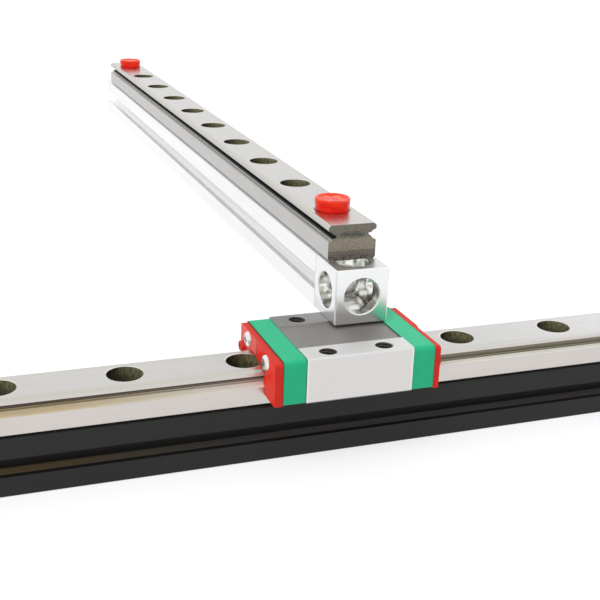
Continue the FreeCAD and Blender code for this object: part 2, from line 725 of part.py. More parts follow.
def add_wire_path(drawing, points, side):
    """Three straight runs joined by two quarter bends. Arcs run anticlockwise, so their ends swap by side."""
    corners = [Vector(value(x), value(y), 0) for x, y in points]
    radius = value("wire_bend")
    first, last = (1, 2) if side > 0 else (2, 1)
    for index in range(5):
        start, end = corners[index], corners[index + 1]
        if index % 2 == 0:
            edge = Part.LineSegment(start, end)
        elif side > 0:
            edge = arc_between(start, end, radius)
        else:
            edge = arc_between(end, start, radius)
        drawing.addGeometry(edge)
    for bend in (1, 3):
        for line, line_end, bend_end in ((bend - 1, 2, first), (bend + 1, 1, last)):
            drawing.addConstraint(Sketcher.Constraint("Coincident", line, line_end, bend, bend_end))
    for line, end, point in ((0, 1, 0), (0, 2, 1), (2, 1, 2), (2, 2, 3), (4, 1, 4), (4, 2, 5)):
        fix_point(drawing, line, end, points[point])
    for bend in (1, 3):
        fix_radius(drawing, bend, "wire_bend")


def make_balls(label, at, side):
    """Balls of one circuit, spaced evenly round its two straight rows and two half rings."""
    row_out, radius = value(TURN_MIDDLE), value(TURN_RADIUS)
    straight = value("block_length")
    height = value("ball_up")
    count = int(value("ball_count"))
    lap = 2 * straight + 2 * math.pi * radius
    balls = []
    for number in range(count):
        along, out = circuit_point(number * lap / count, straight, radius)
        middle = Vector(along, side * (row_out + out), height)
        balls.append(Part.makeSphere(value("ball_size") / 2, middle))
    group = document.addObject("Part::Feature", label)
    group.Label = label
    group.Shape = Part.makeCompound(balls)
    place(group, at)
    parts.append(group)


def circuit_point(travel, straight, radius):
    """Where a ball is after a distance round the circuit: along the rail, and out from its middle."""
    half_ring = math.pi * radius
    if travel < straight:
        return travel - straight / 2, -radius
    travel -= straight
    if travel < half_ring:
        angle = travel / radius
        return straight / 2 + radius * math.sin(angle), -radius * math.cos(angle)
    travel -= half_ring
    if travel < straight:
        return straight / 2 - travel, radius
    angle = (travel - straight) / radius
    return -straight / 2 - radius * math.sin(angle), radius * math.cos(angle)


# Corner cube and stops.

def make_cube(at):
    """Cube with three large bores that meet in the middle, each with a screw hole in the wall behind it."""
    body = new_body("corner_cube", at)
    half = "cube_side / 2"
    square = new_sketch(body, "XY_Plane")
    add_outline(square, rectangle(minus(half), minus(half), half, half))
    pad(body, square, "cube_side", middle=True)
    side = value(half)
    soften(body, "Chamfer", lambda edge, middle: True, "cube_edge")
    bores = (("XZ_Plane", half, False), ("YZ_Plane", minus(half), True), ("XY_Plane", half, False))
    for plane, shift, backwards in bores:
        mouth = new_sketch(body, plane, ("0", "0", shift))
        add_circle(mouth, ("0", "0"), "cube_bore / 2")
        pocket(body, mouth, "cube_side - cube_wall", backwards=backwards)
    for plane, shift, backwards in bores:
        hole = new_sketch(body, plane)
        add_circle(hole, ("0", "0"), "cube_hole / 2")
        pocket(body, hole, backwards=backwards)
    bore_lap = math.pi * value("cube_bore")
    soften(body, "Chamfer", lambda edge, middle: near(edge.Length, bore_lap)
           and near(max(abs(middle.x), abs(middle.y), abs(middle.z)), side), "cube_rim")
    return body


def make_cube_screw(label, length, at, turn=0.0, axis=Vector(0, 0, 1)):
    """One of the two button-head screws inside the cube."""
    body = new_body(label)
    place(body, at, turn, axis)
    add_button_screw(body, length)
    return body


def make_stop(label, at):
    """Rail stop: a plug with a flared, dished head and a split stem. Height 0 is the rail's top."""
    body = new_body(label, at)
    plug = "stop_size / 2"
    rim = "stop_head / 2"
    seat = "stop_seat_gap - counterbore_depth"
    foot = "stop_seat_gap - counterbore_depth - stop_stem_length"
    profile = new_sketch(body, "XZ_Plane")
    add_outline(profile, [
        ("0", foot), ("stop_stem / 2 - thread_tip", foot), ("stop_stem / 2", foot + " + thread_tip"),
        ("stop_stem / 2", seat), (plug, seat), (plug, "stop_lift"), ("stop_neck / 2", "stop_lift"),
        (rim, "stop_height - stop_rim_height"), (rim, "stop_height - stop_edge"),
        (rim + " - stop_edge", "stop_height"), (rim + " - stop_rim", "stop_height"),
        (rim + " - stop_rim - stop_dish", "stop_height - stop_dish"), ("0", "stop_height - stop_dish"),
    ])
    turned(body, profile)
    split = new_sketch(body, "XZ_Plane")
    add_outline(split, rectangle("-stop_split / 2", foot + " - thread_tip", "stop_split / 2", seat))
    pocket(body, split, both=True)
    return body


def check_document():
    """Stop if any object failed to build or any sub-part is empty or broken."""
    document.recompute()
    faults = ["%s %s" % (item.Label, item.State) for item in document.Objects
              if "Invalid" in item.State or "Error" in item.State]
    faults += ["%s has no valid shape" % body.Label for body in parts
               if body.Shape.isNull() or not body.Shape.isValid() or not body.Shape.Solids]
    if faults:
        raise RuntimeError("; ".join(faults))


def write_parts():
    """Write one file for each sub-part."""
    os.makedirs("parts", exist_ok=True)
    for body in parts:
        body.Shape.exportStep("parts/%s.step" % body.Label)
        box = body.Shape.BoundBox
        print("%-22s %3d solids %9.3f mm3  x %8.2f %8.2f  y %8.2f %8.2f  z %7.2f %7.2f" % (
            body.Label, len(body.Shape.Solids), body.Shape.Volume,
            box.XMin, box.XMax, box.YMin, box.YMax, box.ZMin, box.ZMax))


fill_sheet()

# Base: beam, rail, screws, nuts and stops.
seat_up = "beam_side / 2"
screw_seat = " + rail_height - counterbore_depth"
rail_top = "beam_side / 2 + rail_height"
make_beam("base_beam", "base_beam_length", ("0", "0", "-beam_side / 2"))
make_rail("lower_rail", "base_beam_length", ("0", "0", seat_up))
make_rail_screws("lower_rail_screws", "base_beam_length", ("0", "0", seat_up + screw_seat))
make_slot_nuts("lower_slot_nuts", "base_beam_length", ("0", "0", seat_up))
lower_inset = first_hole("base_beam_length")
make_stop("lower_stop_left", (lower_inset, "0", rail_top))
make_stop("lower_stop_right", ("base_beam_length - " + lower_inset, "0", rail_top))

# Carriage.
carriage_at = ("park_distance", "0", seat_up)
make_block(carriage_at)
for end_name, end_turn in (("right", 0.0), ("left", 180.0)):
    make_end_cap("end_cap_" + end_name, carriage_at, end_turn)
    make_return_guides("return_guides_" + end_name, carriage_at, end_turn)
    make_end_seal("end_seal_" + end_name, carriage_at, end_turn)
    make_seal_screws("seal_screws_" + end_name, carriage_at, end_turn)
    make_port_plug("port_plug_" + end_name, carriage_at, end_turn)
for side_name, side_sign in (("front", -1), ("rear", 1)):
    make_balls("balls_" + side_name, carriage_at, side_sign)
    make_retainer_wire("retainer_wire_" + side_name, carriage_at, side_sign)

# Corner cube and its two screws, over one tapped hole of the carriage.
cube_x, cube_y = "park_distance + tap_spacing_long / 2", "tap_spacing_wide / 2"
cube_floor = "beam_side / 2 + carriage_height"
cube_middle = cube_floor + " + cube_side / 2"
cube_back = cube_y + " + cube_side / 2"
make_cube((cube_x, cube_y, cube_middle))
make_cube_screw("cube_screw_down", "cube_screw_length", (cube_x, cube_y, cube_floor + " + cube_wall"))
make_cube_screw("cube_screw_back", "beam_screw_length", (cube_x, cube_back + " - cube_wall", cube_middle),
                90.0, Vector(1, 0, 0))

# Cross beam and upper rail.
rail_near = cube_back + " - rail_overhang"
beam_top = cube_middle + " + beam_side / 2"
make_beam("cross_beam", "cross_beam_length", (cube_x, cube_back, cube_middle + " - beam_side / 2"), 90.0)
upper_rail_top = beam_top + " + rail_height"
upper_inset = first_hole("cross_beam_length")
make_rail("upper_rail", "cross_beam_length", (cube_x, rail_near, beam_top), 90.0)
make_rail_screws("upper_rail_screws", "cross_beam_length", (cube_x, rail_near, beam_top + screw_seat), 90.0)
make_slot_nuts("upper_slot_nuts", "cross_beam_length", (cube_x, rail_near, beam_top), 90.0)
make_stop("upper_stop_near", (cube_x, rail_near + " + " + upper_inset, upper_rail_top))
make_stop("upper_stop_far", (cube_x, rail_near + " + cross_beam_length - " + upper_inset, upper_rail_top))

check_document()
write_parts()
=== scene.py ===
import math
from types import SimpleNamespace

import bpy
import numpy as np
from mathutils import Matrix, Vector


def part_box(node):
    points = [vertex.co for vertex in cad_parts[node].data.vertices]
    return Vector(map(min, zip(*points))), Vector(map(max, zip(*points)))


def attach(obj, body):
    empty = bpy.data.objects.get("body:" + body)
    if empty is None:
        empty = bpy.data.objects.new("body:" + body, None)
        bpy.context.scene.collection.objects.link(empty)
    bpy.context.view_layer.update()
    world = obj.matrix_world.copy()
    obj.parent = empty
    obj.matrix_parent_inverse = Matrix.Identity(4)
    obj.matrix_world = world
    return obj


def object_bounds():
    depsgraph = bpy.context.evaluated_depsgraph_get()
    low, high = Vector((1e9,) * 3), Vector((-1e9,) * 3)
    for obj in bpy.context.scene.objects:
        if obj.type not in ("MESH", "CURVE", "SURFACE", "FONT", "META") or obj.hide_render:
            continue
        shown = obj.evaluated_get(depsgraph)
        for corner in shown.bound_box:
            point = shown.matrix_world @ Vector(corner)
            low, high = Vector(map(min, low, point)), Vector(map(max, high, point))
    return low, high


# A miniature linear slide on a pale studio floor. Lengths here are millimetres, as in the part's
# drawings, and MM turns them into the scene's metres.
MM = 0.001

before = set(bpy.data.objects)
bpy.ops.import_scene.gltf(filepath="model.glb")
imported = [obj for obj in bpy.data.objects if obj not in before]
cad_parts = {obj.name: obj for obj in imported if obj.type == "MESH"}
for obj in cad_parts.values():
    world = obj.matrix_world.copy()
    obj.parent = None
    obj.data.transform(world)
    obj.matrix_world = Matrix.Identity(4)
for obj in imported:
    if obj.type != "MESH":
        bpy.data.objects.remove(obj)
cad_low, cad_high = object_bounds()

# Long axes of the two rails and beams.
ALONG_X = 0
ALONG_Y = 1

# Sizes of the real pieces that the finishes follow, and of the painted shade on them.
RAIL_HEIGHT = 6.5
RAIL_CHAMFER = 0.5
COUNTERBORE_RADIUS = 3.0
HOLE_PITCH = 20.0
SHOULDER_HEIGHT = 3.4
NECK_HEIGHT = 3.85
BEAK_LOW = 4.8
BEAK_HEIGHT = 5.5
HOLE_SHADE = 4.4
STOP_SHADE_RADIUS = 3.38
SAWN_FOOT = 1.75
STAIN_LOW = 4.1
STAIN_HIGH = 5.1
SLOT_DEPTH = 3.1
LEDGE_DEPTH = 1.4
LEDGE_BELOW_MIDDLE = 1.2
GROUND_BAND = 5.2
CARRIAGE_MIDDLE = 107.1
CARRIAGE_HALF_WAY_UP = 12.0
BLOCK_END = 9.45
CAP_END = 13.45
# Where the seals' painted shadow line starts, measured from the step, and how wide it is.
STEP_SHADOW_FROM = 0.95
STEP_SHADOW_WIDTH = 0.5
TAP_SPACING_LONG = 10.0
TAP_SPACING_WIDE = 15.0
THREAD_RADIUS = 1.5
TAP_DEPTH = 3.0
CORE_THREAD_DEPTH = 8.0
THREAD_PITCH = 0.5
THREAD_HEIGHT = 0.26
TAP_CHAMFER = 0.16

# Stretches along a rail or beam, measured from its start, over which a finish turns into another.
OIL_FADES = (55.0, 95.0)
OIL_ENDS = (92.0, 118.0)
PALER_TOP = (118.0, 185.0)
# Stretch over which the painted light on the beams' slot ledges turns from one tone to the other.
LEDGE_LIGHT_FADES = (50.0, 88.0)

# Tones that more than one place uses, or that need a name.
RAIL_TOP = ((0.60, 0.59, 0.575), (0.66, 0.65, 0.63))
RAIL_TOP_FAR = (0.80, 0.80, 0.80)
RAIL_LIP = (0.60, 0.585, 0.50)
HOLE_RIM_LIGHT = (0.98, 0.92, 0.84)
FOOT_SHADOW = (0.05, 0.045, 0.035)
OILED_BORE = ((0.11, 0.105, 0.055), (0.38, 0.365, 0.205))
STOP_REFLECTION = ((0.42, 0.01, 0.006), (0.06, 0.05, 0.04))
SEAM_SHADOW = (0.012, 0.04, 0.03)
# Strengths of the painted red glow given to the stops and the seals.
STOP_GLOW = 0.14
SEAL_GLOW = 0.14

# The camera that took the picture, found by fitting the part's corners and holes to it.
CAMERA_PLACE = (39.41, -160.04, 83.64)
CAMERA_TURN = 20.64
CAMERA_DOWN = 19.99
CAMERA_ROLL = 2.01
FOCAL_PIXELS = 1090.03
IMAGE_SIDE = 600
SENSOR_WIDTH = 36.0


def box_mm(node):
    """Lowest and highest corner of a node, in millimetres."""
    low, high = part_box(node)
    return np.array(low) / MM, np.array(high) / MM


# Shader maths

class Value:
    """A socket that carries a number, colour or vector. Python's operators on it add Math nodes."""

    def __init__(self, finish, socket):
        self.finish = finish
        self.socket = socket

    def other(self, name):
        """Another output of the same node."""
        return Value(self.finish, self.socket.node.outputs[name])

    def maths(self, operation, first, second=0.0):
        return self.finish.node("ShaderNodeMath", {"operation": operation}, {0: first, 1: second})

    def __add__(self, term):
        return self.maths("ADD", self, term)

    __radd__ = __add__

    def __sub__(self, term):
        return self.maths("SUBTRACT", self, term)

    def __rsub__(self, term):
        return self.maths("SUBTRACT", term, self)

    def __mul__(self, factor):
        return self.maths("MULTIPLY", self, factor)

    __rmul__ = __mul__

    def __abs__(self):
        return self.maths("ABSOLUTE", self)

    def larger(self, term):
        return self.maths("MAXIMUM", self, term)

    def root(self):
        return self.maths("SQRT", self)


class Finish:
    """The node tree of one material or of the world, with the patterns that the finishes share."""

    def __init__(self, holder):
        holder.use_nodes = True
        self.holder = holder
        self.tree = holder.node_tree
        self.tree.nodes.clear()

    def node(self, kind, settings=None, sockets=None):
        """Add a node: its settings first, then the values or links of its sockets. Returns its first live
        output."""
        made = self.tree.nodes.new(kind)
        for name, setting in (settings or {}).items():
            setattr(made, name, setting)
        for name, content in (sockets or {}).items():
            socket = made.inputs[name]
            if isinstance(content, Value):
                self.tree.links.new(content.socket, socket)
            elif socket.type == "RGBA":
                socket.default_value = (*content, 1.0)
            else:
                socket.default_value = content
        live = [output for output in made.outputs if output.enabled]
        return Value(self, live[0]) if live else None

    def place(self):
        """The point on the surface, in millimetres of the object's own frame."""
        point = self.node("ShaderNodeTexCoord").other("Object")
        return self.node("ShaderNodeVectorMath", {"operation": "SCALE"}, {0: point, "Scale": 1 / MM})

    def split(self, vector):
        """The three coordinates of a vector."""
        first = self.node("ShaderNodeSeparateXYZ", None, {0: vector})
        return [first.other(letter) for letter in "XYZ"]

    def facing(self):
        """The three coordinates of the surface's direction."""
        return self.split(self.node("ShaderNodeTexCoord").other("Normal"))

    def between(self, value, low, high):
        """0 at low, 1 at high, with a soft step from one to the other."""
        step = {"interpolation_type": "SMOOTHSTEP", "clamp": True}
        return self.node("ShaderNodeMapRange", step, {"Value": value, "From Min": low, "From Max": high})

    def band(self, value, low, high, soft):
        """1 from low to high and 0 outside, with soft borders."""
        return self.between(value, low - soft, low + soft) * self.between(value, high + soft, high - soft)

    def wrapped(self, value, length):
        """The part of a value that is left over after whole lengths."""
        return self.node("ShaderNodeMath", {"operation": "WRAP"}, {0: value, 1: length, 2: 0.0})

    def noise(self, place, stretch, detail=3.0, rough=0.5):
        """Cloudy noise from 0 to 1 whose grain per millimetre is given for each axis."""
        point = self.node("ShaderNodeVectorMath", {"operation": "MULTIPLY"}, {0: place, 1: stretch})
        shape = {"Vector": point, "Scale": 1.0, "Detail": detail, "Roughness": rough}
        return self.node("ShaderNodeTexNoise", None, shape)

    def specks(self, place, grain, size):
        """Small round specks: 1 near the cells' points and 0 elsewhere."""
        cells = self.node("ShaderNodeTexVoronoi", None, {"Vector": place, "Scale": grain, "Randomness": 1.0})
        return self.between(cells, size, size * 0.5)

    def mix(self, share, first, second):
        """One colour turning into another as the share goes from 0 to 1."""
        return self.node("ShaderNodeMix", {"data_type": "RGBA"}, {0: share, 6: first, 7: second})

    def shade(self, colour, amount):
        """A colour made darker or lighter."""
        return self.node("ShaderNodeVectorMath", {"operation": "SCALE"}, {0: colour, "Scale": amount})

    def bump(self, height, depth, strength=1.0):
        """A surface direction tilted by a height pattern that is depth millimetres deep."""
        sockets = {"Height": height, "Distance": depth * MM, "Strength": strength}
        return self.node("ShaderNodeBump", None, sockets)

    def surface(self, **sockets):
        """Close the material with a Principled shader. Underscores in names stand for spaces."""
        spelled = {name.replace("_", " "): content for name, content in sockets.items()}
        shader = self.node("ShaderNodeBsdfPrincipled", None, spelled)
        self.node("ShaderNodeOutputMaterial", None, {"Surface": shader})
        return self.holder


def new_finish(name):
    return Finish(bpy.data.materials.new(name))


def along(long_axis, lengthwise, crosswise):
    """Grain of a pattern drawn out along a rail or beam."""
    grain = [crosswise, crosswise, crosswise]
    grain[long_axis] = lengthwise
    return tuple(grain)


# Finishes

def rail_regions(f, point, node, long_axis, stain_rise):
    """Distances on a rail, and masks that are 1 on one region of its surface and 0 elsewhere."""
    low, high = box_mm(node)
    middle = (low + high) / 2
    half = (high[long_axis] - low[long_axis]) / 2
    facing = f.facing()
    at = SimpleNamespace()
    at.out = abs(point[1 - long_axis] - middle[1 - long_axis])
    at.height = point[2] - low[2]
    at.from_start = point[long_axis] - low[long_axis]
    at.from_end = half - abs(point[long_axis] - middle[long_axis])
    at.end = f.between(abs(facing[long_axis]), 0.8, 0.95) * f.between(at.from_end, 0.15, 0.05)
    top_start = RAIL_HEIGHT - RAIL_CHAMFER
    at.top = f.between(facing[2], 0.3, 0.6) * f.between(at.height, top_start - 0.05, top_start + 0.05)
    body = (1 - at.top) * (1 - at.end)
    from_hole = f.wrapped(at.from_start, HOLE_PITCH) - HOLE_PITCH / 2
    at.hole_distance = (from_hole * from_hole + at.out * at.out).root()
    at.hole = f.between(at.hole_distance, COUNTERBORE_RADIUS + 0.04, COUNTERBORE_RADIUS + 0.01) * body
    at.sideways = from_hole if long_axis == ALONG_X else point[0] - middle[0]
    at.clean = f.between(at.from_start, *OIL_ENDS) if long_axis == ALONG_X else 0.0
    above_stain = at.height - (1 - at.clean) * stain_rise
    over_neck = f.between(above_stain, NECK_HEIGHT - 0.04, NECK_HEIGHT + 0.04)
    at.neck = over_neck * f.between(at.height, BEAK_HEIGHT + 0.02, BEAK_HEIGHT - 0.06) * body
    at.beak = f.band(at.height, BEAK_LOW, BEAK_HEIGHT, 0.05) * body
    at.foot_line = f.band(above_stain, NECK_HEIGHT, NECK_HEIGHT + 0.15, 0.04) * body
    over_shoulder = f.between(at.height, SHOULDER_HEIGHT - 0.03, SHOULDER_HEIGHT + 0.03)
    at.slope = over_shoulder * (1 - over_neck) * body
    at.lip = f.between(at.out, 2.9, 4.1) * at.top
    return at


def rail_steel(f, point, at, long_axis, sides, lines, clouds, fine):
    """Colour of a rail's ground top and sides, with a duller lip and, on the lower rail, painted highlights on
    the far rims round the holes and a paler top further on."""
    ground = f.mix(clouds, *RAIL_TOP)
    if long_axis == ALONG_X:
        ground = f.mix(f.between(at.from_start, *PALER_TOP), ground, RAIL_TOP_FAR)
    steel = f.mix(at.top, f.mix(clouds, *sides), ground)
    steel = f.shade(steel, 0.83 + lines * 0.2 + fine * 0.14)
    steel = f.mix(at.lip * (0.6 - at.clean * 0.5), steel, RAIL_LIP)
    if long_axis == ALONG_X:
        # Painted highlight: the far rims of the lower rail's holes are made lighter.
        rim = f.band(at.hole_distance, COUNTERBORE_RADIUS, COUNTERBORE_RADIUS + 0.3, 0.07) * at.top
        rim = rim * f.between(point[1], 0.5, 2.0)
        steel = f.mix(rim * 0.6, steel, HOLE_RIM_LIGHT)
    return steel


def oiled_shaded_bore(f, place, at):
    """Colour of a rail's counterbores: oily, with painted light and shade: lighter on the side that faces left
    and towards the mouth, darker deep down and on the side that faces right.
    """
    drilled = f.noise(place, (3.2, 3.2, 1.3), 3.0, 0.65)
    oiled = f.mix(f.between(drilled, 0.25, 0.75), *OILED_BORE)
    near_mouth = f.between(at.height, HOLE_SHADE, 6.2)
    # Painted shade: the oil tone is darkened deep in the bore and on the side that faces right.
    return f.shade(oiled, 0.12 + f.between(at.sideways, -2.4, 2.6) * (0.45 + near_mouth * 0.75))


def stop_shadow(f, at):
    """Where a rail's top mirrors the stop in its outer hole, and the colour there."""
    shade = f.between(at.hole_distance, STOP_SHADE_RADIUS + 0.12, STOP_SHADE_RADIUS - 0.1) * at.top
    shade = shade * f.between(at.from_end, HOLE_PITCH, HOLE_PITCH - 0.5)
    return shade * 0.85, f.mix(f.between(abs(at.sideways), 2.4, 3.0), *STOP_REFLECTION)


def ground_rail(name, node, long_axis, sides, slope_tones, neck_tones, beak_shade, slope_matt, stain_rise):
    """Ground rail steel: fine lines along it, slopes and necks in oil tones (one tone at the start of the
    rail, one further on) with painted light and shade, the lower rail's slopes painted bright as a reflection
    and the necks and the beak's underside painted dark as shade, oiled holes with painted shade, a painted
    reflection of the stops, and abrasive-cut ends."""
    f = new_finish(name)
    place = f.place()
    point = f.split(place)
    at = rail_regions(f, point, node, long_axis, stain_rise)
    lines = f.noise(place, along(long_axis, 0.05, 6.0), 4.0, 0.6)
    clouds = f.noise(place, along(long_axis, 0.12, 0.5), 3.0, 0.55)
    speckle = f.noise(place, (5.0, 5.0, 5.0), 5.0, 0.65)
    fine = f.noise(place, (13.0, 13.0, 13.0), 2.0, 0.6)
    steel = rail_steel(f, point, at, long_axis, sides, lines, clouds, fine)
    further = f.between(at.from_start, *OIL_FADES)
    # Painted reflection: on the lower rail the slopes get bright, matt oil tones standing in for the white
    # surroundings they mirror.
    oily_slope_sheen = f.shade(f.mix(further, *slope_tones), 0.93 + lines * 0.12)
    # Painted shade: the necks under the beak are darkened; on the upper rail they are painted nearly black.
    oily_shaded_neck = f.shade(f.mix(further, *neck_tones), 0.7 + lines * 0.25 + clouds * 0.35)
    colour = f.mix(at.neck, f.mix(at.slope, steel, oily_slope_sheen), oily_shaded_neck)
    colour = f.mix(at.foot_line * 0.6, colour, FOOT_SHADOW)
    # Painted shade: the beak's underside gets a dark tone.
    colour = f.mix(at.beak, colour, f.mix(at.clean * 0.8, beak_shade, oily_shaded_neck))
    colour = f.mix(at.hole, colour, oiled_shaded_bore(f, place, at))
    colour = f.mix(at.end, colour, sawn_end(f, at.height, at.out, speckle, fine))
    shade, mirrored = stop_shadow(f, at)
    colour = f.mix(shade, colour, mirrored)
    rough = 0.25 + lines * 0.12 + fine * 0.08 + at.neck * 0.2 + at.hole * 0.25 + at.end * 0.35 - at.top * 0.07
    height_map = lines * 0.3 + fine * 0.25 + speckle * (0.1 + at.end * 2.0 + at.hole * 0.5)
    metal = 1 - at.hole * 0.6 - at.end * 0.55 - at.slope * slope_matt - at.neck * 0.8
    return f.surface(Base_Color=colour, Metallic=metal, Roughness=rough, Normal=f.bump(height_map, 0.02),
                     Specular_IOR_Level=0.3)


def sawn_end(f, height, out, speckle, fine):
    """Colours of a rail's cut end: a grey-brown top, a dark stain, a browner middle and a burnt foot."""
    place = f.place()
    coarse = f.noise(place, (4.4, 4.4, 4.4), 4.0, 0.8)
    drift = f.noise(place, (1.1, 1.1, 1.1), 3.0, 0.6)
    grain = f.between(coarse, 0.3, 0.7)
    stain = f.band(height + drift * 0.9, STAIN_LOW + 0.45, STAIN_HIGH + 0.45, 0.45)
    stain = stain * f.between(out, 3.1, 1.4)
    stain = stain * f.between(coarse, 0.75, 0.4)
    foot = f.between(height + drift * 0.2, SAWN_FOOT + 0.25, SAWN_FOOT)
    upper = f.between(height + coarse * 0.5, STAIN_LOW - 0.1, STAIN_LOW + 0.6)
    colour = f.mix(upper, f.mix(grain, (0.25, 0.22, 0.17), (0.47, 0.42, 0.33)),
                   f.mix(grain, (0.16, 0.145, 0.115), (0.35, 0.32, 0.26)))
    colour = f.mix(stain * 0.8, colour, (0.05, 0.062, 0.058))
    lowest = f.between(height, 1.15, 0.8)
    flecks = f.mix(f.between(coarse, 0.46, 0.6), (0.085, 0.073, 0.06), (0.38, 0.34, 0.285))
    burnt = f.mix(lowest, f.mix(grain, (0.16, 0.14, 0.115), (0.29, 0.255, 0.21)), flecks)
    return f.shade(f.mix(foot, colour, burnt), 0.65 + fine * 0.3 + speckle * 0.4)


def extruded(name, node, long_axis, flat, slot, ledge_light, metal, rough, shine):
    """Anodised extrusion: drawn lines along it, other tones in its slots, painted light on their lower ledges
    (one tone at the start of the beam, one further on), and sawn ends."""
    low, high = box_mm(node)
    middle = (low + high) / 2
    f = new_finish(name)
    place = f.place()
    point = f.split(place)
    facing = f.facing()
    out = abs(point[1 - long_axis] - middle[1 - long_axis])
    up = abs(point[2] - middle[2])
    half = (high[2] - low[2]) / 2
    depth = half - out.larger(up)
    end = f.between(abs(facing[long_axis]), 0.8, 0.95)
    inside = f.between(depth, 0.05, 0.3) * (1 - end)
    further = f.between(point[long_axis] - low[long_axis], *LEDGE_LIGHT_FADES)
    below = f.between(point[2] - middle[2], 0.1 - LEDGE_BELOW_MIDDLE, -0.1 - LEDGE_BELOW_MIDDLE)
    lit_ledge = f.band(depth, LEDGE_DEPTH, SLOT_DEPTH - 0.15, 0.08) * below * inside
    lines = f.noise(place, along(long_axis, 0.02, 5.0), 4.0, 0.6)
    grain = f.noise(place, (9.0, 9.0, 9.0), 2.0, 0.5)
    clouds = f.noise(place, along(long_axis, 0.05, 0.3), 3.0, 0.5)
    saw = f.noise(place, along(2, 0.25, 6.0), 3.0, 0.6)
    dust = f.specks(place, 0.7, 0.05) * f.between(clouds, 0.5, 0.65)
    colour = f.mix(inside, f.mix(clouds, *flat), f.mix(lines, *slot))
    # Painted light: the lower ledges inside the slots get a lit tone, brown at the start of the base beam.
    colour = f.mix(lit_ledge, colour, f.shade(f.mix(further, *ledge_light), 0.7 + lines * 0.6))
    colour = f.shade(colour, 0.88 + lines * 0.2 + grain * 0.06 + end * (saw - 0.3) * 0.5)
    colour = f.mix(dust * 0.25, colour, (0.45, 0.44, 0.42))
    height_map = lines * 0.3 + grain * 0.5 + end * saw * 1.5
    return f.surface(Base_Color=colour, Metallic=metal, Roughness=rough + grain * 0.1 + lines * 0.08,
                     Normal=f.bump(height_map, 0.012), Specular_IOR_Level=shine)


def machined_cube(name, node):
    """Satin anodised faces with a fine blasted grain, painted shade towards the foot and painted highlights on
    the chamfers, and bores turned bright with dark olive blotches painted as reflections.
    """
    low, high = box_mm(node)
    middle = (low + high) / 2
    half = (high[0] - low[0]) / 2
    f = new_finish(name)
    place = f.place()
    point = f.split(place)
    away = [abs(point[axis] - middle[axis]) for axis in range(3)]
    bore = f.between(away[0].larger(away[1]).larger(away[2]), half - 0.1, half - 0.3)
    turned = [abs(part) for part in f.facing()]
    # Painted highlight: the chamfers, where the surface turns away from the cube's faces, are made lighter.
    edge_highlight = f.between(turned[0].larger(turned[1]).larger(turned[2]), 0.95, 0.85) * (1 - bore)
    grain = f.noise(place, (11.0, 11.0, 11.0), 3.0, 0.6)
    milled = f.noise(place, (0.6, 0.6, 9.0), 3.0, 0.55)
    rings = f.noise(place, (4.0, 4.0, 4.0), 2.0, 0.5)
    # Painted shade: the faces get darker towards the foot of the cube.
    foot = f.between(point[2], low[2] + 3.6, low[2] + 1.2)
    face = f.shade((0.82, 0.825, 0.83), 0.92 + grain * 0.07 + milled * 0.09 - foot * 0.17)
    face = f.mix(edge_highlight, face, (0.95, 0.95, 0.95))
    # Painted reflection: dark olive blotches in the bright bores.
    reflection_patches = f.between(f.noise(place, (0.55, 0.4, 0.55), 4.0, 0.6), 0.46, 0.56)
    turned_tone = f.mix(reflection_patches * 0.62, (0.99, 0.99, 0.97), (0.32, 0.30, 0.22))
    colour = f.mix(bore, face, f.shade(turned_tone, 0.85 + rings * 0.2))
    top = f.between(f.facing()[2], 0.8, 0.95) * (1 - bore)
    rough = 0.21 + grain * 0.06 + edge_highlight * 0.3 - bore * 0.02 + top * 0.12
    height_map = grain * 0.3 + milled * 0.3 + bore * rings * 0.4
    return f.surface(Base_Color=colour, Metallic=1.0, Roughness=rough, Normal=f.bump(height_map, 0.006))


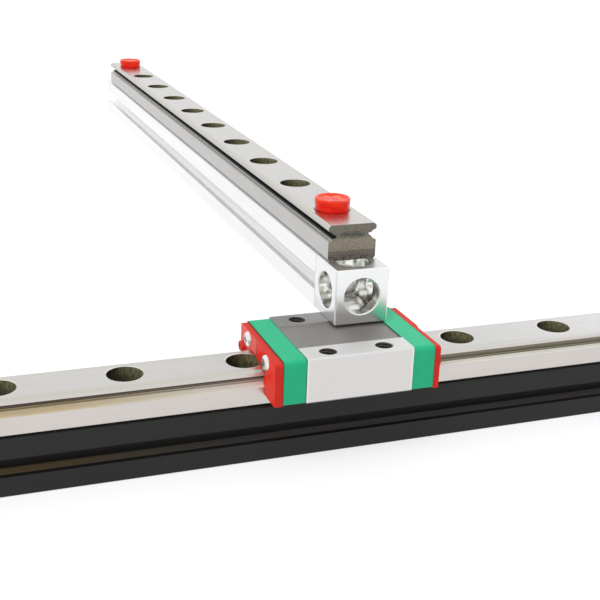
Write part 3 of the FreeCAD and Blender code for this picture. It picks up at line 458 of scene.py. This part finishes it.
def ground_block(name, node):
    """The carriage's steel: brushed pale sides, and on top two ground strips with a darker fine-grained band
    between them. The far strip is painted darker as a reflection, most near its -X end; the long sides get
    painted highlights near their ends, and faces lying deeper than the top get painted shade."""
    low, high = box_mm(node)
    middle = (low + high) / 2
    half_length = (high[0] - low[0]) / 2
    f = new_finish(name)
    place = f.place()
    point = f.split(place)
    facing = f.facing()
    up = f.between(facing[2], 0.5, 0.8)
    across = abs(point[1] - middle[1])
    band = f.between(across, GROUND_BAND + 0.1, GROUND_BAND - 0.02)
    side = f.between(abs(facing[1]), 0.6, 0.9)
    brushed = f.noise(place, (0.25, 5.0, 8.0), 5.0, 0.7)
    grind = f.noise(place, (0.35, 9.0, 9.0), 4.0, 0.65)
    clouds = f.noise(place, (0.5, 0.9, 0.9), 4.0, 0.6)
    speckle = f.noise(place, (9.0, 9.0, 9.0), 4.0, 0.65)
    scratches = f.between(f.noise(place, (0.9, 3.0, 6.5), 5.0, 0.75), 0.66, 0.72) * side
    pits = f.noise(place, (3.6, 3.6, 3.6), 3.0, 0.75)
    strip = f.shade((0.82, 0.815, 0.81), 0.84 + grind * 0.2 + speckle * 0.12)
    # Painted reflection: the far strip is darkened.
    far_strip_reflection = f.between(point[1] - middle[1], 0.0, 2.0)
    strip = f.shade(strip, 1 - far_strip_reflection * (0.56 - f.between(point[0] - low[0], 1.0, 10.0) * 0.2))
    rough_band = f.mix(clouds, (0.335, 0.32, 0.305), (0.41, 0.395, 0.38))
    rough_band = f.shade(rough_band, 0.5 + speckle * 0.4 + pits * 0.6)
    pale = f.shade((0.665, 0.65, 0.645), 0.84 + brushed * 0.22 + speckle * 0.1)
    pale = f.mix(scratches * 0.35, pale, (0.86, 0.85, 0.84))
    colour = f.mix(up, pale, f.mix(band, strip, rough_band))
    # Painted highlight: the long sides are made lighter near their ends.
    edge_highlight = f.between(abs(point[0] - middle[0]), half_length - 0.3, half_length - 0.15) * side
    colour = f.mix(edge_highlight * 0.5, colour, (0.9, 0.9, 0.9))
    # Painted shade: faces more than about 0.5 mm below the top, other than the long sides, are made dark.
    deep = f.between(point[2], high[2] - 0.5, high[2] - 0.8) * (1 - side)
    colour = f.mix(deep, colour, (0.10, 0.09, 0.08))
    rough = 0.34 + brushed * 0.12 + speckle * 0.06 + up * 0.14 + deep * 0.15
    height_map = brushed * side * 0.8 + grind * up * 0.4 + speckle * (0.2 + band * 0.6) + pits * band * 1.5
    return f.surface(Base_Color=colour, Metallic=1.0, Roughness=rough, Normal=f.bump(height_map, 0.018))


def moulded(name, dark, pale, rough, shine, grain_size, seams=()):
    """Moulded plastic: a fine spark-eroded skin, faint flow clouds, small pale scuffs and a dark line at each
    seam, whose distance from the carriage's middle is given."""
    f = new_finish(name)
    place = f.place()
    skin = f.noise(place, (grain_size, grain_size, grain_size), 3.0, 0.6)
    flow = f.noise(place, (0.5, 0.35, 0.6), 3.0, 0.5)
    scuffs = f.between(f.noise(place, (2.2, 0.5, 3.1), 5.0, 0.7), 0.66, 0.74)
    colour = f.shade(f.mix(flow, dark, pale), 0.93 + skin * 0.12)
    colour = f.mix(scuffs * 0.1, colour, (0.8, 0.8, 0.78))
    for seam in seams:
        line = f.band(abs(f.split(place)[0] - CARRIAGE_MIDDLE), seam - 0.1, seam + 0.1, 0.05)
        colour = f.mix(line * 0.7, colour, SEAM_SHADOW)
    return f.surface(Base_Color=colour, Roughness=rough + skin * 0.12 + scuffs * 0.1,
                     Normal=f.bump(skin * 0.6 + flow * 0.8, 0.012), Specular_IOR_Level=shine)


def pressed_seal(name):
    """The seals' red plastic: an outer face painted brighter, with more painted glow than the rest, a paler
    thin half with a painted dark shadow line near the step, and sides painted a deeper red as shade."""
    f = new_finish(name)
    place = f.place()
    point = f.split(place)
    outward = point[0] - CARRIAGE_MIDDLE
    face = f.between(abs(f.facing()[0]), 0.6, 0.9)
    from_step = point[1] * outward * (-1 / CAP_END)
    thin_half = f.between(from_step, -0.05, 0.05) * face
    skin = f.noise(place, (8.0, 8.0, 8.0), 3.0, 0.6)
    flow = f.noise(place, (0.5, 0.5, 0.6), 3.0, 0.5)
    # Painted shade: the sides are a deeper red than the outer face.
    shaded_sides = f.mix(flow, (0.64, 0.032, 0.022), (0.78, 0.045, 0.03))
    colour = f.mix(face, shaded_sides, f.mix(flow, (0.92, 0.030, 0.012), (1.0, 0.055, 0.025)))
    colour = f.mix(thin_half * 0.3, colour, (0.95, 0.42, 0.38))
    # Painted shadow: a dark line on the face next to the step.
    step_shadow = f.band(from_step, STEP_SHADOW_FROM, STEP_SHADOW_FROM + STEP_SHADOW_WIDTH, 0.08) * face
    colour = f.mix(step_shadow * 0.8, colour, (0.36, 0.004, 0.003))
    colour = f.shade(colour, 0.93 + skin * 0.12)
    # Painted light: a red glow, strongest on the outer face.
    glow = f.shade((1.0, 0.02, 0.01), 0.45 + face * 0.55)
    return f.surface(Base_Color=colour, Roughness=0.36 + skin * 0.12,
                     Normal=f.bump(skin * 0.6 + flow * 0.8, 0.012), Specular_IOR_Level=0.12,
                     Emission_Color=glow, Emission_Strength=SEAL_GLOW)


def clear_red(name):
    """The stops' soft glossy plastic: deep red below, painted darker lower down as shade, a lighter orange
    painted where light comes through the rim with a painted darker line a little below the top, a top painted
    paler as its lit side, and a painted red glow. The upper stops' height counts, as the picture shows one of
    them."""
    high = box_mm("upper_stop_near")[1]
    f = new_finish(name)
    place = f.place()
    height = f.split(place)[2]
    top = f.between(f.facing()[2], 0.3, 0.8)
    rim = f.between(height, high[2] - 0.9, high[2] - 0.2)
    swirl = f.between(f.noise(place, (0.5, 0.5, 0.9), 3.0, 0.6), 0.38, 0.62)
    skin = f.noise(place, (1.6, 1.6, 1.6), 2.0, 0.5)
    side = f.mix(swirl, (0.84, 0.004, 0.001), (1.0, 0.035, 0.008))
    # Painted shade: a darker red lower down the side.
    side = f.mix(f.between(height, high[2] - 1.4, high[2] - 2.4) * 0.7, side, (0.80, 0.002, 0.001))
    # Painted light: a lighter orange near the top of the side.
    side = f.mix(rim * 0.6, side, (1.0, 0.075, 0.02))
    # Painted shade: a darker line a little below the top.
    side = f.mix(f.band(height, high[2] - 0.75, high[2] - 0.5, 0.1) * 0.4, side, (0.62, 0.004, 0.001))
    # Painted light: the top is paler, as its lit side.
    colour = f.mix(top * 0.7, side, f.mix(swirl, (0.72, 0.026, 0.012), (0.84, 0.20, 0.12)))
    return f.surface(Base_Color=colour, Roughness=0.12 + skin * 0.1, Normal=f.bump(skin + swirl, 0.06),
                     Specular_IOR_Level=0.16, Subsurface_Weight=0.2, Subsurface_Radius=(1.0, 0.2, 0.08),
                     Subsurface_Scale=MM, Emission_Color=(1.0, 0.03, 0.01), Emission_Strength=STOP_GLOW)


def small_steel(name, dark, pale, rough, grain_size=4.0):
    """Small metal parts: a light grain with faint handling stains."""
    f = new_finish(name)
    place = f.place()
    grain = f.noise(place, (grain_size, grain_size, grain_size), 3.0, 0.6)
    stains = f.noise(place, (0.8, 0.8, 0.8), 4.0, 0.6)
    colour = f.shade(f.mix(stains, dark, pale), 0.9 + grain * 0.2)
    return f.surface(Base_Color=colour, Metallic=1.0, Roughness=rough + grain * 0.1 + stains * 0.06,
                     Normal=f.bump(grain, 0.006))


FINISHES = {
    "base_beam": extruded(
        "black_anodised_beam", "base_beam", ALONG_X,
        flat=((0.0125, 0.0125, 0.0125), (0.018, 0.018, 0.0178)),
        slot=((0.008, 0.0075, 0.007), (0.020, 0.018, 0.016)),
        # Tones painted as light on the slots' lower ledges.
        ledge_light=((0.17, 0.12, 0.058), (0.085, 0.08, 0.075)), metal=0.0, rough=0.36, shine=0.3),
    "cross_beam": extruded(
        "clear_anodised_beam", "cross_beam", ALONG_Y,
        flat=((0.86, 0.86, 0.87), (0.93, 0.93, 0.935)), slot=((0.86, 0.865, 0.87), (0.95, 0.955, 0.96)),
        ledge_light=((0.92, 0.92, 0.925), (0.92, 0.92, 0.925)), metal=1.0, rough=0.28, shine=0.5),
    "corner_cube": machined_cube("clear_anodised_cube", "corner_cube"),
    "lower_rail": ground_rail(
        "lower_rail_steel", "lower_rail", ALONG_X, sides=((0.58, 0.55, 0.525), (0.64, 0.605, 0.58)),
        # Slope tones: oil tones painted bright as a reflection.
        slope_tones=((0.80, 0.66, 0.42), (1.0, 0.985, 0.90)),
        # Neck tones: oil tones with painted shade; beak: painted shade.
        neck_tones=((0.24, 0.19, 0.15), (0.42, 0.39, 0.30)),
        beak_shade=(0.11, 0.095, 0.07), slope_matt=1.0, stain_rise=0.45),
    "upper_rail": ground_rail(
        "upper_rail_steel", "upper_rail", ALONG_Y, sides=((0.46, 0.45, 0.44), (0.57, 0.56, 0.55)),
        slope_tones=((0.56, 0.55, 0.54), (0.56, 0.55, 0.54)),
        # Neck tones: painted black shadow under the beak; beak: painted shade.
        neck_tones=((0.02, 0.02, 0.018), (0.05, 0.05, 0.047)),
        beak_shade=(0.13, 0.13, 0.125), slope_matt=0.5, stain_rise=0.0),
    "carriage_block": ground_block("carriage_steel", "carriage_block"),
}
SHARED_FINISHES = [
    (moulded("green_plastic", (0.020, 0.53, 0.255), (0.030, 0.62, 0.32), 0.36, 0.25, 6.0,
             seams=(BLOCK_END, CAP_END)), ["end_cap"]),
    (pressed_seal("red_seal"), ["end_seal"]),
    (moulded("red_plug", (0.70, 0.050, 0.035), (0.82, 0.080, 0.055), 0.4, 0.15, 8.0), ["port_plug"]),
    (clear_red("red_stop"), ["lower_stop", "upper_stop"]),
    (moulded("pale_guide_plastic", (0.62, 0.60, 0.54), (0.70, 0.68, 0.62), 0.4, 0.4, 6.0),
     ["return_guides"]),
    (small_steel("polished_balls", (0.62, 0.62, 0.62), (0.72, 0.72, 0.72), 0.06, 2.0), ["balls"]),
    (small_steel("spring_wire", (0.50, 0.49, 0.47), (0.60, 0.59, 0.57), 0.2), ["retainer_wire"]),
    (small_steel("black_oxide_screws", (0.035, 0.034, 0.033), (0.065, 0.062, 0.06), 0.34),
     ["lower_rail_screws", "upper_rail_screws"]),
    (small_steel("bright_screws", (0.80, 0.795, 0.78), (0.92, 0.915, 0.90), 0.26),
     ["seal_screws", "cube_screw"]),
    (small_steel("zinc_nuts", (0.48, 0.49, 0.50), (0.58, 0.59, 0.60), 0.3),
     ["lower_slot_nuts", "upper_slot_nuts"]),
]
THREAD_STEEL = small_steel("oiled_thread", (0.05, 0.045, 0.04), (0.13, 0.12, 0.11), 0.34)
BEAM_THREAD = small_steel("cut_aluminium_thread", (0.60, 0.60, 0.61), (0.72, 0.72, 0.73), 0.3)


def dress_nodes():
    """Give every node of the frame its finish."""
    for name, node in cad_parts.items():
        finish = FINISHES.get(name)
        for shared, starts in SHARED_FINISHES:
            if name.startswith(tuple(starts)):
                finish = shared
        for place in node.material_slots:
            place.material = finish


# Pieces made here

def ring_surface(name, rings, finish, body):
    """A closed surface through rings of points: each ring closes on itself, and the last ring joins the
    first."""
    rows, columns = rings.shape[:2]
    row = np.arange(rows)[:, None]
    column = np.arange(columns)[None, :]
    corners = [(row, column), (row + 1, column), (row + 1, column + 1), (row, column + 1)]
    faces = np.stack([(r % rows) * columns + c % columns for r, c in corners], axis=-1).reshape(-1, 4)
    mesh = bpy.data.meshes.new(name)
    mesh.vertices.add(rows * columns)
    mesh.vertices.foreach_set("co", (rings.reshape(-1, 3) * MM).astype(np.float32).ravel())
    mesh.loops.add(faces.size)
    mesh.loops.foreach_set("vertex_index", faces.ravel().astype(np.int32))
    mesh.polygons.add(len(faces))
    mesh.polygons.foreach_set("loop_start", np.arange(0, faces.size, 4, dtype=np.int32))
    mesh.update(calc_edges=True)
    mesh.validate()
    mesh.materials.append(finish)
    piece = bpy.data.objects.new(name, mesh)
    bpy.context.scene.collection.objects.link(piece)
    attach(piece, body)
    return piece


def tapped_wall(mouth, inward, depth):
    """Rings of a tapped wall. The inner radius falls from the thread's outer size by a triangle wave of
    (depth / pitch - angle / full turn), fading in over the first half pitch; the outer wall is a plain
    cylinder just behind the hole's side."""
    steps = np.linspace(0.0, depth, int(depth / THREAD_PITCH * 8) + 1)
    angles = np.linspace(0.0, 2 * np.pi, 48, endpoint=False)
    wave = (steps[:, None] / THREAD_PITCH - angles[None, :] / (2 * np.pi)) % 1.0
    ridge = 1.0 - np.abs(2.0 * wave - 1.0)
    fade = np.clip(steps / THREAD_PITCH * 2, 0.0, 1.0)[:, None]
    inner = THREAD_RADIUS - 0.01 - THREAD_HEIGHT * ridge * fade
    outer = np.full((2, len(angles)), THREAD_RADIUS + 0.02)
    radius = np.concatenate([inner, outer])
    length = np.concatenate([steps, steps[[-1, 0]]])[:, None]
    inward = np.array(inward, float)
    side = np.cross(inward, (0.0, 0.0, 1.0)) if abs(inward[2]) < 0.5 else np.array((1.0, 0.0, 0.0))
    cross = np.cross(inward, side)
    turned = np.cos(angles)[:, None] * side + np.sin(angles)[:, None] * cross
    return np.array(mouth, float) + radius[..., None] * turned[None] + length[..., None] * inward


def cut_threads():
    """Threads in the carriage's tapped holes and in both beams' core bores."""
    block_top = box_mm("carriage_block")[1][2]
    holes = [
        (CARRIAGE_MIDDLE + right * TAP_SPACING_LONG / 2, back * TAP_SPACING_WIDE / 2)
        for right in (-1, 1) for back in (-1, 1)
    ]
    for number, (x, y) in enumerate(holes, 1):
        rings = tapped_wall((x, y, block_top - TAP_CHAMFER), (0, 0, -1), TAP_DEPTH - 0.3)
        ring_surface("carriage_thread_%d" % number, rings, THREAD_STEEL, "carriage")
    for node, axis, slot, body in (("base_beam", ALONG_X, "black_anodised", "base"),
                                   ("cross_beam", ALONG_Y, "clear_anodised", "carriage")):
        low, high = box_mm(node)
        for label, start, sign in (("start", low, 1), ("end", high, -1)):
            mouth = (low + high) / 2
            mouth[axis] = start[axis] + sign * 0.02
            inward = [0, 0, 0]
            inward[axis] = sign
            rings = tapped_wall(mouth, inward, CORE_THREAD_DEPTH - 0.1)
            ring_surface("%s_thread_%s" % (node, label), rings, BEAM_THREAD, body)


# Stage

FLOOR_TONES = ((0.53, 0.53, 0.53), (0.55, 0.55, 0.55))
FLOOR_GLOW = 0.62
FLOOR_REACH = 6.0
FLOOR_DROP = 0.02
WHITE = (1.0, 1.0, 1.0)
WORLD_LIGHT = 0.62
LAMP_SIDE = 0.6
KEY_LAMP = ((-0.25, -0.35, 0.75), 2.6)
BACK_LAMP = ((0.55, 0.55, 0.7), 1.6)


def seen_rays(f):
    """1 for camera, glossy and transmission rays, 0 for the rays that light the object."""
    path = f.node("ShaderNodeLightPath")
    seen = path.other("Is Camera Ray").larger(path.other("Is Glossy Ray"))
    return seen.larger(path.other("Is Transmission Ray"))


def lay_floor():
    """A pale floor under the base beam, lifted to white where it is seen, with its shadows kept."""
    f = new_finish("pale_floor")
    cloud = f.noise(f.place(), (0.01, 0.01, 0.01), 3.0, 0.5)
    paint = f.node("ShaderNodeBsdfDiffuse", None, {"Color": f.mix(cloud, *FLOOR_TONES)})
    glow = f.node("ShaderNodeEmission", None, {"Color": WHITE, "Strength": seen_rays(f) * FLOOR_GLOW})
    both = f.node("ShaderNodeAddShader", None, {0: paint, 1: glow})
    f.node("ShaderNodeOutputMaterial", None, {"Surface": both})
    level = cad_low[2] - FLOOR_DROP * MM
    mesh = bpy.data.meshes.new("studio_floor")
    corners = [(x * FLOOR_REACH, y * FLOOR_REACH, level) for x, y in ((-1, -1), (1, -1), (1, 1), (-1, 1))]
    mesh.from_pydata(corners, [], [(0, 1, 2, 3)])
    mesh.materials.append(f.holder)
    floor = bpy.data.objects.new("studio_floor", mesh)
    bpy.context.scene.collection.objects.link(floor)


def light_world():
    """Even light all round, seen as white."""
    world = bpy.data.worlds.new("studio")
    bpy.context.scene.world = world
    f = Finish(world)
    light = f.node("ShaderNodeBackground", None, {"Color": WHITE, "Strength": WORLD_LIGHT})
    white = f.node("ShaderNodeBackground", None, {"Color": WHITE, "Strength": 1.0})
    shown = f.node("ShaderNodeMixShader", None, {0: seen_rays(f), 1: light, 2: white})
    f.node("ShaderNodeOutputWorld", None, {"Surface": shown})


def hang_lamp(name, place, watts):
    """A square soft lamp that looks at the carriage. Its place is in metres."""
    target = Vector((CARRIAGE_MIDDLE, 0.0, CARRIAGE_HALF_WAY_UP)) * MM
    lamp = bpy.data.lights.new(name, "AREA")
    lamp.shape = "SQUARE"
    lamp.size = LAMP_SIDE
    lamp.energy = watts
    holder = bpy.data.objects.new(name, lamp)
    holder.location = place
    holder.rotation_mode = "QUATERNION"
    holder.rotation_quaternion = (target - Vector(place)).to_track_quat("-Z", "Y")
    holder.visible_glossy = False
    bpy.context.scene.collection.objects.link(holder)


def place_camera():
    """The picture's camera: turned from the +Y axis towards +X, tipped down, then rolled."""
    turn, down, roll = (math.radians(angle) for angle in (CAMERA_TURN, CAMERA_DOWN, CAMERA_ROLL))
    ahead = Vector((math.sin(turn) * math.cos(down), math.cos(turn) * math.cos(down), -math.sin(down)))
    level_right = ahead.cross(Vector((0, 0, 1))).normalized()
    level_up = level_right.cross(ahead)
    right = math.cos(roll) * level_right + math.sin(roll) * level_up
    up = -math.sin(roll) * level_right + math.cos(roll) * level_up
    camera = bpy.data.cameras.new("camera")
    camera.sensor_width = SENSOR_WIDTH
    camera.lens = FOCAL_PIXELS / IMAGE_SIDE * SENSOR_WIDTH
    camera.clip_start = 0.01
    camera.clip_end = 50.0
    holder = bpy.data.objects.new("camera", camera)
    turned = Matrix((right, up, -ahead)).transposed().to_4x4()
    holder.matrix_world = Matrix.Translation(Vector(CAMERA_PLACE) * MM) @ turned
    bpy.context.scene.collection.objects.link(holder)
    bpy.context.scene.camera = holder


dress_nodes()
cut_threads()
lay_floor()
light_world()
hang_lamp("key_lamp", *KEY_LAMP)
hang_lamp("back_lamp", *BACK_LAMP)
place_camera()
bpy.context.scene.view_settings.view_transform = "Standard"
